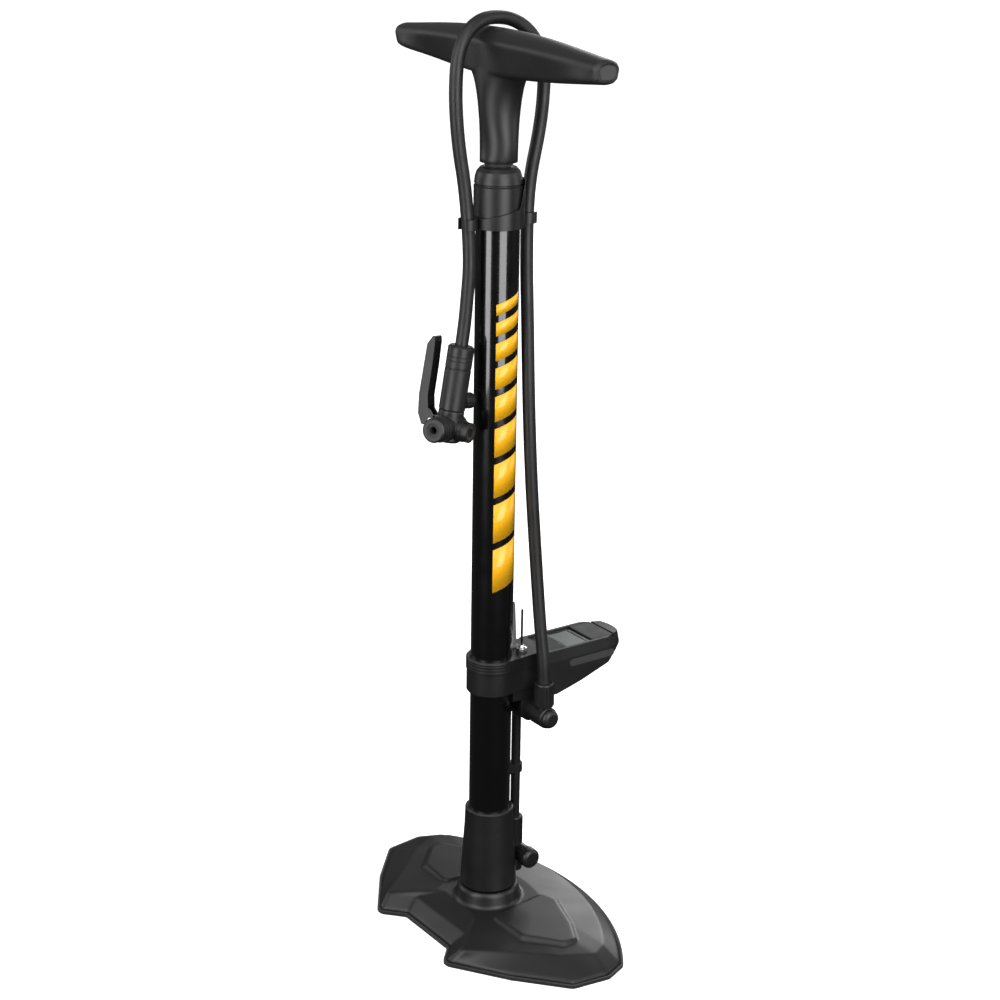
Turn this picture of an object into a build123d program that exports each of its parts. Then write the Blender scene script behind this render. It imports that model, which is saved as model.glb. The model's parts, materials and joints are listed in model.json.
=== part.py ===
"""Floor bike pump: base, barrel, pressure gauge, hose with twin valve head, rod and handle.

Millimetres. +Z is up, the barrel's axis is the Z axis and the floor is Z = 0. +X runs along the
handle, +Y points towards the pressure gauge and the base's round back edge.
"""
from build123d import *
from math import cos, pi, radians, sin
import os

os.makedirs("parts", exist_ok=True)

# ---------------------------------------------------------------- driving dimensions
barrel_r = 16.0  # outside radius of the barrel
barrel_wall = 1.5
barrel_low = 12.0
barrel_top = 590.0
bore_r = barrel_r - barrel_wall
fit_gap = 0.05  # radial clearance of every running or assembly fit
mount_r = barrel_r + fit_gap  # bore of all that sits on the barrel

rod_r = 5.0
rod_low = 56.0
rod_top = 668.0
stud_r = 3.0

rim_h = 3.0  # rubber rim under the base
crease_z = 12.5  # height of the crease round the base
crown_z = 17.5  # height of the base's top surface beside the boss
boss_top = 29.0
boss_r_low = 30.0
boss_r_top = 22.6

sleeve_low = 30.0
sleeve_top = 96.0
pipe_y = 24.8  # axis of the air pipe beside the barrel
pipe_r = 3.7
pipe_bore = 2.2
pipe_low = 72.0
pipe_top = 172.0
air_r = 2.0  # air channels
air_z = 38.0  # height of the barrel's outlet hole

collar_r = 19.5
collar_low = 195.0
band_low = 213.5  # the collar's ribbed upper band starts here
collar_top = 223.5
block_x = (-14.0, 16.0)
block_y = 38.0  # the collar's flat face, where the gauge is screwed on
elbow_y = 28.0
elbow_z = 177.0
boss_end = 15.0  # the boss's flat end, which the elbow plugs into
ferrule_x = 31.0
stub_top = 188.0
ferrule_top = 205.0

gauge_half = 20.0
gauge_end = 117.0
gauge_split = 213.5
gauge_top_z = 222.0
wall = 2.0

dock_low = 555.0
dock_top = 563.0
dock_r = 19.3
clip_y = 25.9
clip_bore = 5.1
clip_r = 7.0
cap_r = 17.7
cap_top = 597.5

bar_z = 677.5  # centre line of the handle bar
bar_half = 122.5
neck_low = 601.3

hose_r = 4.8

# the valve head's own frame: x out of the Presta port, y out of the Schrader port, z up the hose
head_at = (0, -40.7, 411.3)
hose_tilt = 9.9
head_turn = -64.15
head = Plane(Location(head_at) * Rotation(-hose_tilt, 0, 0) * Rotation(0, 0, head_turn))
sleeve_r = 9.6
sleeve_from = 14.0
sleeve_to = 61.0
hose_stop = 51.5
presta_r = 3.05
schrader_r = 3.95


# ---------------------------------------------------------------- helpers
def save(builder, node):
    """Label a finished piece and write its STEP file."""
    builder.part.label = node
    export_step(builder.part, f"parts/{node}.step")


def facing(x, y, z, direction):
    """A plane at a point, its normal along a direction."""
    return Plane(origin=(x, y, z), z_dir=direction)


def on_head(x, y, z, along):
    """A plane at a point of the valve head's frame; along is one of its own axes."""
    axes = {"x": head.x_dir, "y": head.y_dir, "z": head.z_dir, "-x": -head.x_dir, "-y": -head.y_dir}
    side = head.z_dir if along in ("x", "y", "-x", "-y") else head.x_dir
    return Plane(origin=head.from_local_coords((x, y, z)), x_dir=side, z_dir=axes[along])


def rod_on(plane, radius, length, mode=Mode.ADD):
    """A cylinder that starts on a plane and runs along its normal."""
    with BuildSketch(plane) as disc:
        Circle(radius)
    extrude(disc.sketch, amount=length, dir=plane.z_dir, mode=mode)


def turned(outline, mode=Mode.ADD):
    """A body of revolution about Z from (radius, height) corners."""
    with BuildSketch(Plane.XZ) as profile:
        with BuildLine():
            Polyline(*outline, close=True)
        make_face()
    revolve(profile.sketch, axis=Axis.Z, mode=mode)


def wing_face(z, corners, rear_y, corner=0):
    """The base's outline at a height: mirrored front corners, rounded if asked, and a round back edge."""
    with BuildSketch(Plane.XY.offset(z)) as face:
        with BuildLine():
            left = [(-x, y) for x, y in corners]
            Polyline(*corners)
            Polyline(*left)
            Line(corners[0], left[0])
            ThreePointArc(corners[-1], (0, rear_y), left[-1])
        make_face()
        if corner:
            fillet(face.vertices(), corner)
    return face.sketch


# ---------------------------------------------------------------- base
floor_corners = [(30, -57), (47, -72.5), (92, -42), (127.5, -10.5), (131.5, 20), (124, 38)]
crease_corners = [(35, -45), (53, -63), (81, -25), (99, -5), (113, 20), (106, 34)]
crown_corners = [(20, -27), (27, -30), (38, -16), (46, -6), (50, 10), (44, 24)]
floor_rear, crease_rear, crown_rear = 81, 70, 36
plateau_corners = [(30, -24), (70, -19), (96, 5), (98, 20), (74, 32), (38, 43), (22, 36)]


def plateau(side):
    """The raised field on one wing, a little tilted outward, with long slopes and a soft upper edge."""
    tilted = Plane(origin=(side * 62, 8, 13.6), x_dir=(1, 0, -side * 0.052), z_dir=(side * 0.052, 0, 1))
    with BuildPart() as field:
        with BuildSketch(tilted) as outline:
            with BuildLine():
                Polyline(*[(side * (x - 62), y - 8) for x, y in plateau_corners[::side]], close=True)
            make_face()
            fillet(outline.vertices(), 9)
        extrude(outline.sketch, amount=4.5, taper=48, dir=tilted.z_dir)
        fillet(field.faces().sort_by(Axis.Z)[-1].edges(), 2.2)
    return field.part


with BuildPart() as base_shell:
    outline = wing_face(rim_h, floor_corners, floor_rear, 6)
    crease = wing_face(crease_z, crease_corners, crease_rear, 5)
    crown = wing_face(crown_z, crown_corners, crown_rear, 2.5)
    loft([outline, crease, crown], ruled=True)
    for side in (1, -1):
        add(plateau(side))
    turned([(0, rim_h), (boss_r_low, rim_h), (boss_r_low, 15), (26, 19), (boss_r_top + 1.4, 27),
            (boss_r_top, boss_top), (0, boss_top)])
    with BuildSketch(Plane.XY.offset(rim_h)) as pockets:
        add(wing_face(rim_h, crease_corners, crease_rear))
        offset(amount=-3.5, kind=Kind.INTERSECTION)
        Circle(boss_r_low + 2, mode=Mode.SUBTRACT)
        for angle in (15, 60, 90, 120, 165, 205, 240, 300, 335):
            with Locations(Rotation(0, 0, angle)):
                Rectangle(300, 2.4, align=(Align.MIN, Align.CENTER), mode=Mode.SUBTRACT)
    extrude(pockets.sketch, amount=5.5, dir=(0, 0, 1), mode=Mode.SUBTRACT)
    with Locations((0, 0, barrel_low)):
        Cylinder(mount_r, 40, align=(Align.CENTER, Align.CENTER, Align.MIN), mode=Mode.SUBTRACT)
    with Locations((0, 0, rim_h)):
        with PolarLocations(9, 3):
            Cylinder(1.8, 20, mode=Mode.SUBTRACT)
save(base_shell, "base_shell")

with BuildPart() as foot_rim:
    with BuildSketch() as ring:
        add(wing_face(0, floor_corners, floor_rear, 6))
        offset(amount=1.6)
        with BuildSketch(mode=Mode.SUBTRACT):
            add(wing_face(0, floor_corners, floor_rear))
            offset(amount=-6, kind=Kind.INTERSECTION)
    extrude(amount=rim_h)
    chamfer(foot_rim.faces().sort_by(Axis.Z)[0].outer_wire().edges(), 0.6)
save(foot_rim, "foot_rim")

with BuildPart() as centre_foot:
    Cylinder(22, rim_h, align=(Align.CENTER, Align.CENTER, Align.MIN))
    chamfer(centre_foot.faces().sort_by(Axis.Z)[0].edges(), 0.6)
save(centre_foot, "centre_foot")

plug_top = 34.0
seal_low, seal_h, seal_r = 25.0, 3.0, 12.2
with BuildPart() as base_plug:
    turned([(0, barrel_low), (bore_r - fit_gap, barrel_low), (bore_r - fit_gap, seal_low), (seal_r, seal_low),
            (seal_r, seal_low + seal_h), (bore_r - fit_gap, seal_low + seal_h),
            (bore_r - fit_gap, plug_top - 1), (bore_r - 1.2, plug_top), (0, plug_top)])
    with Locations((0, 0, barrel_low)):
        with PolarLocations(9, 3):
            Cylinder(1.55, 22, mode=Mode.SUBTRACT)
save(base_plug, "base_plug")


def seal_ring(node, inner, outer, height, places):
    """Rubber rings of one size, each standing about its own upright axis."""
    with BuildPart() as ring:
        with Locations(*places):
            Cylinder(outer, height, align=(Align.CENTER, Align.CENTER, Align.MIN))
            Cylinder(inner, height, align=(Align.CENTER, Align.CENTER, Align.MIN), mode=Mode.SUBTRACT)
        fillet(ring.edges().filter_by(GeomType.CIRCLE), (outer - inner) * 0.3)
    save(ring, node)


seal_ring("base_plug_seal", seal_r + fit_gap, bore_r - 0.02, seal_h - 0.1, [(0, 0, seal_low + 0.05)])

with BuildPart() as base_screws:
    with PolarLocations(9, 3):
        with Locations((0, 0, rim_h + 0.1)):
            Cylinder(1.5, 18, align=(Align.CENTER, Align.CENTER, Align.MIN))
save(base_screws, "base_screws")

with BuildPart() as barrel:
    with Locations((0, 0, barrel_low)):
        Cylinder(barrel_r, barrel_top - barrel_low, align=(Align.CENTER, Align.CENTER, Align.MIN))
        Cylinder(bore_r, barrel_top - barrel_low, align=(Align.CENTER, Align.CENTER, Align.MIN),
                 mode=Mode.SUBTRACT)
    rod_on(facing(0, 10, air_z, (0, 1, 0)), air_r, 10, Mode.SUBTRACT)
save(barrel, "barrel")

# ---------------------------------------------------------------- foot sleeve, valve block and air pipe
block_r = 6.5
block_low, block_top = 33.0, 80.0
arm_y, arm_z, arm_r, arm_end = 26.0, 50.0, 7.0, 10.5
knob_r, knob_end = 8.0, 23.5

with BuildPart() as foot_sleeve:
    turned([(mount_r, sleeve_low), (21.4, sleeve_low), (22.2, sleeve_low + 1.2), (21.6, 44), (19.3, 80),
            (18.8, sleeve_top - 1), (17.6, sleeve_top), (mount_r, sleeve_top)])
    with Locations((0, pipe_y, sleeve_low)):
        Cylinder(block_r + fit_gap, 80, align=(Align.CENTER, Align.CENTER, Align.MIN), mode=Mode.SUBTRACT)
    rod_on(facing(-5, arm_y, arm_z, (1, 0, 0)), arm_r + 0.2, arm_end + 5, Mode.SUBTRACT)
    rod_on(facing(arm_end - 0.2, arm_y, arm_z, (1, 0, 0)), knob_r + 0.3, 22, Mode.SUBTRACT)
    rod_on(facing(0, 15, air_z, (0, 1, 0)), air_r, 10, Mode.SUBTRACT)
save(foot_sleeve, "foot_sleeve")

seat_z = 53.0
chamber_r = 3.2
with BuildPart() as valve_block:
    with Locations((0, pipe_y, block_low)):
        Cylinder(block_r, block_top - block_low, align=(Align.CENTER, Align.CENTER, Align.MIN))
    fillet(valve_block.edges().filter_by(GeomType.CIRCLE), 1.2)
    rod_on(facing(-4, arm_y, arm_z, (1, 0, 0)), arm_r, arm_end + 4)
    with Locations((0, pipe_y, air_z - air_r)):
        Cylinder(air_r, 30, align=(Align.CENTER, Align.CENTER, Align.MIN), mode=Mode.SUBTRACT)
    with Locations((0, pipe_y, seat_z)):
        Cylinder(chamber_r, 30, align=(Align.CENTER, Align.CENTER, Align.MIN), mode=Mode.SUBTRACT)
    with Locations((0, pipe_y, pipe_low)):
        Cylinder(pipe_r + fit_gap, 30, align=(Align.CENTER, Align.CENTER, Align.MIN), mode=Mode.SUBTRACT)
    rod_on(facing(0, 15, air_z, (0, 1, 0)), air_r, pipe_y - 15, Mode.SUBTRACT)
    rod_on(facing(5, arm_y, arm_z, (1, 0, 0)), 4.0, 10, Mode.SUBTRACT)
save(valve_block, "valve_block")

with BuildPart() as drain_knob:
    rod_on(facing(5.2, arm_y, arm_z, (1, 0, 0)), 4.0 - fit_gap, 8)
    rod_on(facing(arm_end + 0.1, arm_y, arm_z, (1, 0, 0)), 7.2, 2.4)
    knob_face = facing(arm_end + 3.6, arm_y, arm_z, (1, 0, 0))
    rod_on(facing(arm_end + 2.4, arm_y, arm_z, (1, 0, 0)), 6.2, 2)
    rod_on(knob_face, knob_r, knob_end - arm_end - 3.6)
    fillet(drain_knob.edges().filter_by(GeomType.CIRCLE).group_by(Axis.X)[-1], 3.4)
    with BuildSketch(knob_face) as grooves:
        with PolarLocations(knob_r + 0.25, 16):
            Circle(0.7)
    extrude(grooves.sketch, amount=knob_end - arm_end, dir=(1, 0, 0), mode=Mode.SUBTRACT)
save(drain_knob, "drain_knob")

with BuildPart() as check_poppet:
    with Locations((0, pipe_y, seat_z + 0.1)):
        Cylinder(chamber_r - 0.4, 2.6, align=(Align.CENTER, Align.CENTER, Align.MIN))
        Cylinder(1.2, 6.0, align=(Align.CENTER, Align.CENTER, Align.MIN))
save(check_poppet, "check_poppet")

spring_low = seat_z + 2.9
spring_wire = 0.3
with BuildPart() as check_spring:
    coil = Helix(pitch=3.0, height=pipe_low - spring_low - 1.4, radius=2.4, center=(0, pipe_y, spring_low + 0.5))
    with BuildSketch(Plane(origin=coil @ 0, z_dir=coil % 0)) as wire:
        Circle(spring_wire)
    sweep(wire.sketch, path=coil)
save(check_spring, "check_spring")

ring_h = 2.0
ring_places = (block_top - 4.5, pipe_top - 5.0)
with BuildPart() as air_pipe:
    with Locations((0, pipe_y, pipe_low)):
        Cylinder(pipe_r, pipe_top - pipe_low, align=(Align.CENTER, Align.CENTER, Align.MIN))
        Cylinder(pipe_bore, pipe_top - pipe_low, align=(Align.CENTER, Align.CENTER, Align.MIN),
                 mode=Mode.SUBTRACT)
    for low in ring_places:
        with Locations((0, pipe_y, low)):
            Cylinder(pipe_r + 1, ring_h, align=(Align.CENTER, Align.CENTER, Align.MIN), mode=Mode.SUBTRACT)
            Cylinder(pipe_r - 0.8, ring_h, align=(Align.CENTER, Align.CENTER, Align.MIN))
            Cylinder(pipe_bore, ring_h, align=(Align.CENTER, Align.CENTER, Align.MIN), mode=Mode.SUBTRACT)
save(air_pipe, "air_pipe")
seal_ring("pipe_seals", pipe_r - 0.78, pipe_r + 0.03, ring_h - 0.1,
          [(0, pipe_y, low + 0.05) for low in ring_places])

clip_low, clip_h = 119.0, 7.0
with BuildPart() as pipe_clip:
    with BuildSketch(Plane.XY.offset(clip_low)) as band:
        with Locations((0, pipe_y)):
            Circle(pipe_r + 1.5)
        with Locations((0, 18.5)):
            Rectangle(8, 7)
        Circle(mount_r, mode=Mode.SUBTRACT)
        with Locations((0, pipe_y)):
            Circle(pipe_r + fit_gap, mode=Mode.SUBTRACT)
    extrude(band.sketch, amount=clip_h)
save(pipe_clip, "pipe_clip")

# ---------------------------------------------------------------- collar that carries gauge, hose and needle
needle_at = (8.0, 22.5)
cone_at = (-5.0, 23.2)
holder_r = 4.6
socket_depth = 7.0
boss_r = 9.8
block_mid = sum(block_x) / 2
block_wide = block_x[1] - block_x[0]

collar_outline = [(mount_r, collar_low + 2.6), (collar_r - 1.3, collar_low), (collar_r - 0.5, collar_low + 1),
                  (collar_r - 0.5, band_low), (collar_r, band_low + 0.4)]
for low in (215.8, 218.2, 220.6):
    collar_outline += [(collar_r, low), (collar_r - 0.45, low + 0.2), (collar_r - 0.45, low + 0.6),
                       (collar_r, low + 0.8)]
collar_outline += [(collar_r, collar_top - 1), (collar_r - 1, collar_top), (mount_r, collar_top)]


def collar_block(low, high, swell):
    """The part of the collar that runs out from its ring to the gauge's flat face."""
    with BuildSketch(Plane.XY.offset(low)) as plan:
        with BuildLine():
            Polyline((collar_r + swell, 0), (block_x[1] + swell, block_y), (block_x[0] - swell, block_y),
                     (-collar_r - swell, 0), close=True)
        make_face()
        fillet(plan.vertices().group_by(Axis.Y)[-1], 3)
    extrude(plan.sketch, amount=high - low, dir=(0, 0, 1))


with BuildPart() as gauge_collar:
    turned(collar_outline)
    collar_block(collar_low + 1, band_low, -0.5)
    collar_block(band_low, collar_top, 0)
    with BuildSketch(Plane.XY.offset(187)) as block:
        with Locations((block_mid, 10)):
            Rectangle(block_wide - 1, block_y - 10, align=(Align.CENTER, Align.MIN))
        fillet(block.vertices().group_by(Axis.Y)[-1], 3)
    extrude(block.sketch, amount=collar_low + 1 - 187)
    rod_on(facing(-9, elbow_y, elbow_z, (1, 0, 0)), boss_r, boss_end + 9)
    with BuildSketch(Plane.XY.offset(elbow_z)) as web:
        with Locations(((boss_end - 9) / 2, elbow_y)):
            Rectangle(boss_end + 9, 2 * boss_r)
    extrude(web.sketch, amount=12)
    with Locations((0, 0, 150)):
        Cylinder(mount_r, 90, align=(Align.CENTER, Align.CENTER, Align.MIN), mode=Mode.SUBTRACT)
    with Locations((0, pipe_y, 160)):
        Cylinder(pipe_r + fit_gap, pipe_top - 160, align=(Align.CENTER, Align.CENTER, Align.MIN),
                 mode=Mode.SUBTRACT)
    with Locations((0, pipe_y, pipe_top)):
        Cylinder(air_r, elbow_z - pipe_top + 1, align=(Align.CENTER, Align.CENTER, Align.MIN),
                 mode=Mode.SUBTRACT)
    rod_on(facing(-2, elbow_y, elbow_z, (1, 0, 0)), air_r, 20, Mode.SUBTRACT)
    rod_on(facing(7, elbow_y, elbow_z, (1, 0, 0)), 5.0, 10, Mode.SUBTRACT)
    rod_on(facing(0, elbow_y, 196, (0, 1, 0)), 1.2, 12, Mode.SUBTRACT)
    with Locations((0, elbow_y, elbow_z)):
        Cylinder(1.2, 19.5, align=(Align.CENTER, Align.CENTER, Align.MIN), mode=Mode.SUBTRACT)
    for (x, y) in (needle_at, cone_at):
        with Locations((x, y, collar_top - socket_depth)):
            Cylinder(holder_r + fit_gap, 20, align=(Align.CENTER, Align.CENTER, Align.MIN), mode=Mode.SUBTRACT)
save(gauge_collar, "gauge_collar")

needle_foot_r = 3.0
with BuildPart() as needle_holder:
    with Locations((*needle_at, collar_top - socket_depth)):
        Cylinder(holder_r, socket_depth + 1.3, align=(Align.CENTER, Align.CENTER, Align.MIN))
    fillet(needle_holder.edges().group_by(Axis.Z)[-1], 1.0)
    with Locations((*needle_at, collar_top - 4)):
        Cylinder(needle_foot_r + fit_gap, 20, align=(Align.CENTER, Align.CENTER, Align.MIN), mode=Mode.SUBTRACT)
save(needle_holder, "needle_holder")

needle_low = collar_top - 3.9
needle_collar = collar_top + 1.5
with BuildPart() as needle_base:
    with BuildSketch(Plane.XZ.offset(-needle_at[1])) as profile:
        with BuildLine():
            Polyline(*[(needle_at[0] + r, z) for r, z in (
                (0.55, needle_low), (needle_foot_r, needle_low), (needle_foot_r, needle_collar), (4.1, needle_collar),
                (4.1, needle_collar + 1.8), (2.6, needle_collar + 2.8), (1.7, needle_collar + 4.2),
                (0.55, needle_collar + 4.2))], close=True)
        make_face()
    revolve(profile.sketch, axis=Axis((*needle_at, 0), (0, 0, 1)))
save(needle_base, "needle_base")

with BuildPart() as needle_tube:
    with Locations((*needle_at, needle_low)):
        Cylinder(0.5, 258.5 - needle_low, align=(Align.CENTER, Align.CENTER, Align.MIN))
    with Locations((*needle_at, needle_collar + 4.3)):
        Cylinder(0.9, 258 - needle_collar - 4.3, align=(Align.CENTER, Align.CENTER, Align.MIN))
    fillet(needle_tube.edges().group_by(Axis.Z)[-1], 0.3)
save(needle_tube, "needle_tube")

cone_low = collar_top - socket_depth + 0.1
with BuildPart() as cone_nozzle:
    with BuildSketch(Plane.XZ.offset(-cone_at[1])) as profile:
        with BuildLine():
            Polyline(*[(cone_at[0] + r, z) for r, z in (
                (1.0, cone_low), (holder_r, cone_low), (holder_r, collar_top + 0.8), (3.1, collar_top + 2.4),
                (1.7, 258.5), (1.3, 259.5), (1.0, 259.5))], close=True)
        make_face()
    revolve(profile.sketch, axis=Axis((*cone_at, 0), (0, 0, 1)))
save(cone_nozzle, "cone_nozzle")

# ---------------------------------------------------------------- hose elbow, nut and cap
with BuildPart() as hose_elbow:
    rod_on(facing(7.2, elbow_y, elbow_z, (1, 0, 0)), 5.0 - fit_gap, boss_end - 7)
    rod_on(facing(boss_end + 0.1, elbow_y, elbow_z, (1, 0, 0)), 6.9, 10)
    rod_on(facing(23.5, elbow_y, elbow_z, (1, 0, 0)), 8.4, 14)
    fillet(hose_elbow.edges().filter_by(GeomType.CIRCLE).group_by(Axis.X)[-1], 1.2)
    with Locations((ferrule_x, elbow_y, elbow_z)):
        Cylinder(6.0, stub_top - elbow_z, align=(Align.CENTER, Align.CENTER, Align.MIN))
    rod_on(facing(7, elbow_y, elbow_z, (1, 0, 0)), air_r, ferrule_x - 7, Mode.SUBTRACT)
    with Locations((ferrule_x, elbow_y, elbow_z - 1)):
        Cylinder(air_r, 20, align=(Align.CENTER, Align.CENTER, Align.MIN), mode=Mode.SUBTRACT)
    rod_on(facing(ferrule_x + 3, elbow_y, elbow_z, (1, 0, 0)), 2.6, 10, Mode.SUBTRACT)
save(hose_elbow, "hose_elbow")

elbow_face = 37.6
with BuildPart() as elbow_cap:
    rod_on(facing(elbow_face - 3, elbow_y, elbow_z, (1, 0, 0)), 2.5, 4)
    rod_on(facing(elbow_face, elbow_y, elbow_z, (1, 0, 0)), 7.4, 4.8)
    fillet(elbow_cap.edges().filter_by(GeomType.CIRCLE).sort_by(Axis.X)[-1], 3.8)
save(elbow_cap, "elbow_cap")

ferrule_r = 7.8
ferrule_low = 186.8
with BuildPart() as hose_ferrule:
    with Locations((ferrule_x, elbow_y, ferrule_low - 1.2)):
        Cylinder(7.0, 3, align=(Align.CENTER, Align.CENTER, Align.MIN))
    with Locations((ferrule_x, elbow_y, ferrule_low)):
        Cone(ferrule_r, ferrule_r - 0.4, ferrule_top - ferrule_low, align=(Align.CENTER, Align.CENTER, Align.MIN))
    fillet(hose_ferrule.edges().group_by(Axis.Z)[-1], 1.4)
    with BuildSketch(Plane.XY.offset(ferrule_low)) as grooves:
        with Locations((ferrule_x, elbow_y)):
            with PolarLocations(ferrule_r, 18):
                Circle(0.75)
    extrude(grooves.sketch, amount=ferrule_top - ferrule_low - 2.6, mode=Mode.SUBTRACT)
    with Locations((ferrule_x, elbow_y, 180)):
        Cylinder(6.0 + fit_gap, stub_top - 180, align=(Align.CENTER, Align.CENTER, Align.MIN), mode=Mode.SUBTRACT)
    with Locations((ferrule_x, elbow_y, stub_top - 1)):
        Cylinder(hose_r + 0.1, 20, align=(Align.CENTER, Align.CENTER, Align.MIN), mode=Mode.SUBTRACT)
save(hose_ferrule, "hose_ferrule")

# ---------------------------------------------------------------- digital pressure gauge
gauge_y0 = block_y
end_straight = 99.0  # where the sides start to round in
window = (45.5, 83.5)  # along the gauge
button_y = (85.5, 105.5)
panel_half = 15.8


def gauge_plan(z, inset=0.0):
    """The gauge's outline from above: straight sides and a bowed far end."""
    half = gauge_half - inset
    with BuildSketch(Plane.XY.offset(z)) as plan:
        with BuildLine():
            Polyline((half * 0.62, gauge_end - 2.2 - inset), (half, end_straight - inset), (half, gauge_y0 + inset),
                     (-half, gauge_y0 + inset), (-half, end_straight - inset), (-half * 0.62, gauge_end - 2.2 - inset))
            ThreePointArc((half * 0.62, gauge_end - 2.2 - inset), (0, gauge_end - inset),
                          (-half * 0.62, gauge_end - 2.2 - inset))
        make_face()
        fillet(plan.vertices().group_by(Axis.Y)[1:], 3)
    return plan.sketch


def under_gauge(lift):
    """Side outline of the space above the gauge's sloping underside."""
    with BuildSketch(Plane.YZ.offset(-40)) as side:
        with BuildLine():
            Polyline((30, 230), (30, 186 + lift), (49, 186 + lift), (72, 192 + lift), (98, 201 + lift),
                     (109, 207.5 + lift), (122, 217 + lift), (122, 230), close=True)
        make_face()
    return side.sketch


def gauge_block(inset, lift):
    """What is inside the gauge's outline and above its underside, up to the split line."""
    with BuildPart() as block:
        extrude(gauge_plan(180, inset), amount=gauge_split - 180, dir=(0, 0, 1))
        extrude(under_gauge(lift), amount=80, dir=(1, 0, 0), mode=Mode.INTERSECT)
    return block.part


# screw places, each with the height of the sloped underside there
gauge_screw_at = [(x, y, low) for x in (-13.5, 13.5) for y, low in ((47.5, 186.0), (93.0, 199.3))]
screw_sink = 4.0

with BuildPart() as gauge_posts:
    with Locations(*[(x, y, low) for x, y, low in gauge_screw_at]):
        Cylinder(3.6, 40, align=(Align.CENTER, Align.CENTER, Align.MIN))
    add(gauge_block(0.5, 0.5), mode=Mode.INTERSECT)

with BuildPart() as gauge_body:
    add(gauge_block(0, 0))
    add(gauge_block(wall, wall), mode=Mode.SUBTRACT)
    add(gauge_posts.part)
    with Locations(*gauge_screw_at):
        Cylinder(1.3, 60, mode=Mode.SUBTRACT)
        Cylinder(2.5, 2 * screw_sink, mode=Mode.SUBTRACT)
    for side in (1, -1):
        with BuildSketch(Plane.YZ.offset(side * (gauge_half + 1))) as strip:
            with Locations((82, 209)):
                SlotOverall(44, 6.2)
        extrude(strip.sketch, amount=1.8, dir=(-side, 0, 0), mode=Mode.SUBTRACT)
save(gauge_body, "gauge_body")

with BuildPart() as gauge_trim:
    for side in (1, -1):
        with BuildSketch(Plane.YZ.offset(side * (gauge_half + 0.25))) as strip:
            with Locations((82, 209)):
                SlotOverall(43.6, 5.8)
        extrude(strip.sketch, amount=1, dir=(-side, 0, 0))
save(gauge_trim, "gauge_trim")

with BuildPart() as gauge_screws:
    for x, y, low in gauge_screw_at:
        head_low = low + screw_sink - 1.9
        with Locations((x, y, head_low)):
            Cylinder(2.3, 1.8, align=(Align.CENTER, Align.CENTER, Align.MIN))
            Cylinder(1.15, gauge_split + 3 - head_low, align=(Align.CENTER, Align.CENTER, Align.MIN))
save(gauge_screws, "gauge_screws")

panel_z = 219.6
with BuildPart() as gauge_bezel:
    loft([gauge_plan(gauge_split), gauge_plan(gauge_top_z, 1.4)], ruled=True)
    with BuildSketch(Plane.XY.offset(panel_z)) as panel:
        with Locations((0, (window[0] + button_y[1]) / 2)):
            RectangleRounded(2 * panel_half + 0.6, button_y[1] - window[0] + 3, 2)
    extrude(panel.sketch, amount=10, dir=(0, 0, 1), mode=Mode.SUBTRACT)
    with BuildSketch(Plane.XY.offset(gauge_split)) as opening:
        with Locations((0, sum(window) / 2)):
            Rectangle(27, window[1] - window[0] - 4)
        with Locations((0, sum(button_y) / 2)):
            Rectangle(2 * panel_half - 2 + 0.8, button_y[1] - button_y[0] - 2 + 0.8)
    extrude(opening.sketch, amount=10, dir=(0, 0, 1), mode=Mode.SUBTRACT)
    with Locations(*[(x, y, gauge_split) for x, y, low in gauge_screw_at]):
        Cylinder(1.2, 7.2, mode=Mode.SUBTRACT)
save(gauge_bezel, "gauge_bezel")

with BuildPart() as gauge_lens:
    with BuildSketch(Plane.XY.offset(panel_z + 0.02)) as glass:
        with Locations((0, sum(window) / 2)):
            RectangleRounded(2 * panel_half, window[1] - window[0], 1.5)
    extrude(glass.sketch, amount=1.2)
save(gauge_lens, "gauge_lens")

with BuildPart() as lcd_screen:
    with BuildSketch(Plane.XY.offset(panel_z - 2.4)) as cell:
        with Locations((0, 72.0)):
            Rectangle(26, 18)
    extrude(cell.sketch, amount=2.3)
save(lcd_screen, "lcd_screen")

with BuildPart() as window_mask:
    with BuildSketch(Plane.XY.offset(panel_z - 1.2)) as cell:
        with Locations((0, 55.0)):
            Rectangle(26, 14.6)
    extrude(cell.sketch, amount=1.1)
save(window_mask, "window_mask")

with BuildPart() as mode_button:
    with BuildSketch(Plane.XY.offset(panel_z + 1.2)) as pad:
        with Locations((0, sum(button_y) / 2)):
            RectangleRounded(2 * panel_half, button_y[1] - button_y[0], 2)
    extrude(pad.sketch, amount=1.2)
    fillet(mode_button.edges().group_by(Axis.Z)[-1], 0.5)
    with BuildSketch(Plane.XY.offset(panel_z - 1.6)) as stem:
        with Locations((0, sum(button_y) / 2)):
            Rectangle(2 * panel_half - 2, button_y[1] - button_y[0] - 2)
    extrude(stem.sketch, amount=3.0)
save(mode_button, "mode_button")

board_z = 209.0
with BuildPart() as gauge_board:
    with BuildSketch(Plane.XY.offset(board_z)) as board:
        with Locations((0, 72.5)):
            Rectangle(31, 50)
        with Locations(*[(x, y) for x, y, low in gauge_screw_at]):
            Circle(4.0, mode=Mode.SUBTRACT)
    extrude(board.sketch, amount=1.6)
    with Locations((0, sum(button_y) / 2, board_z + 1.6)):
        Box(6, 6, 5.2, align=(Align.CENTER, Align.CENTER, Align.MIN))
    with Locations((0, 72, board_z + 1.6)):
        Box(22, 4, 5.9, align=(Align.CENTER, Align.CENTER, Align.MIN))
save(gauge_board, "gauge_board")

with BuildPart() as pressure_sensor:
    with Locations((0, 50, 196)):
        Cylinder(4.5, board_z - 196 - 0.1, align=(Align.CENTER, Align.CENTER, Align.MIN))
    rod_on(facing(0, gauge_y0 + wall + 0.1, 200, (0, 1, 0)), 2.0, 8)
save(pressure_sensor, "pressure_sensor")

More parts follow.
